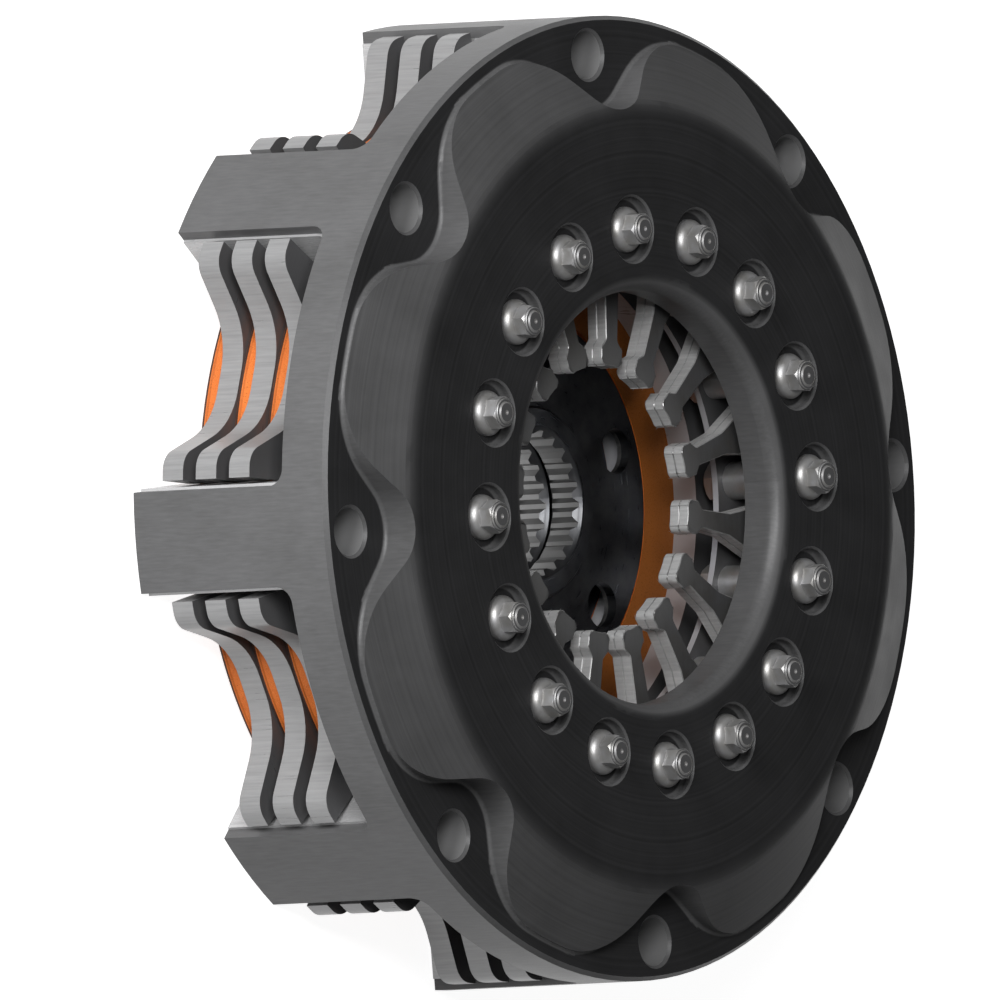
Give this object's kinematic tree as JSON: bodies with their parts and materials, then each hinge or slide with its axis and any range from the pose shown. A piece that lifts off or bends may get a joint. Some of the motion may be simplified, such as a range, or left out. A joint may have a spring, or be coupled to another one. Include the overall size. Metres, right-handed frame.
{
  "type": "triple plate race clutch",
  "caption": "Compact multi-plate dry race clutch: dark scalloped cover on legs with steel liners, stacked plates with orange linings, splined hubs and a diaphragm spring.",
  "frame": {"origin": "centre of the flywheel face, on which the ends of the cover's legs stand", "axes": "+Z along the clutch axis from the flywheel to the front of the cover; one leg lies on +X and one on +Y"},
  "size_m": [0.169, 0.169, 0.0522],
  "materials": {
    "dark_anodised": "hard anodised, fine turned and milled marks",
    "ground_steel": "ground flat, bright edges",
    "spring_steel": "bright rolled and shot peened",
    "liner_steel": "bright sheet",
    "fastener_steel": "satin plated",
    "black_steel": "black oxide",
    "core_steel": "rolled sheet",
    "sintered_lining": "matt sintered friction lining"
  },
  "bodies": {
    "cover_body": {"clutch_cover": "dark_anodised", "leg_liner_1": "liner_steel", "leg_liner_2": "liner_steel", "leg_liner_3": "liner_steel", "leg_liner_4": "liner_steel", "leg_liner_5": "liner_steel", "leg_liner_6": "liner_steel", "leg_liner_7": "liner_steel", "leg_liner_8": "liner_steel", "diaphragm_spring_front": "spring_steel", "diaphragm_spring_rear": "spring_steel", "fulcrum_ring_front": "fastener_steel", "fulcrum_ring_rear": "fastener_steel", "support_ring": "ground_steel", "pivot_bolts": "fastener_steel", "pivot_sleeves": "fastener_steel", "lock_nuts": "fastener_steel"},
    "pressure_body": {"pressure_plate": "ground_steel"},
    "intermediate_body_1": {"intermediate_plate_1": "ground_steel"},
    "intermediate_body_2": {"intermediate_plate_2": "ground_steel"},
    "driven_body_1": {"driven_hub_1": "black_steel", "core_disc_1": "core_steel", "front_lining_1": "sintered_lining", "rear_lining_1": "sintered_lining"},
    "driven_body_2": {"driven_hub_2": "black_steel", "core_disc_2": "core_steel", "front_lining_2": "sintered_lining", "rear_lining_2": "sintered_lining"},
    "driven_body_3": {"driven_hub_3": "black_steel", "core_disc_3": "core_steel", "front_lining_3": "sintered_lining", "rear_lining_3": "sintered_lining"}
  },
  "joints": [
    {"name": "pressure_lift", "type": "slide", "parent": "cover_body", "child": "pressure_body", "axis": [0, 0, 1], "range_m": [0, 0.0009], "deforming": ["diaphragm_spring_front", "diaphragm_spring_rear"]},
    {"name": "intermediate_lift_1", "type": "slide", "parent": "cover_body", "child": "intermediate_body_1", "axis": [0, 0, 1], "range_m": [0, 0.0003]},
    {"name": "intermediate_lift_2", "type": "slide", "parent": "cover_body", "child": "intermediate_body_2", "axis": [0, 0, 1], "range_m": [0, 0.0006]},
    {"name": "driven_spin_1", "type": "hinge", "parent": "cover_body", "child": "driven_body_1", "pos_m": [0, 0, 0.00448], "axis": [0, 0, 1], "continuous": true},
    {"name": "driven_spin_2", "type": "hinge", "parent": "intermediate_body_1", "child": "driven_body_2", "pos_m": [0, 0, 0.01183], "axis": [0, 0, 1], "continuous": true},
    {"name": "driven_spin_3", "type": "hinge", "parent": "intermediate_body_2", "child": "driven_body_3", "pos_m": [0, 0, 0.01918], "axis": [0, 0, 1], "continuous": true}
  ],
  "couplings": [
    {"joint": "intermediate_lift_1", "follows": "pressure_lift", "ratio": 0.3333},
    {"joint": "intermediate_lift_2", "follows": "pressure_lift", "ratio": 0.6666},
    {"joint": "driven_spin_2", "follows": "driven_spin_1", "ratio": 1},
    {"joint": "driven_spin_3", "follows": "driven_spin_1", "ratio": 1}
  ]
}
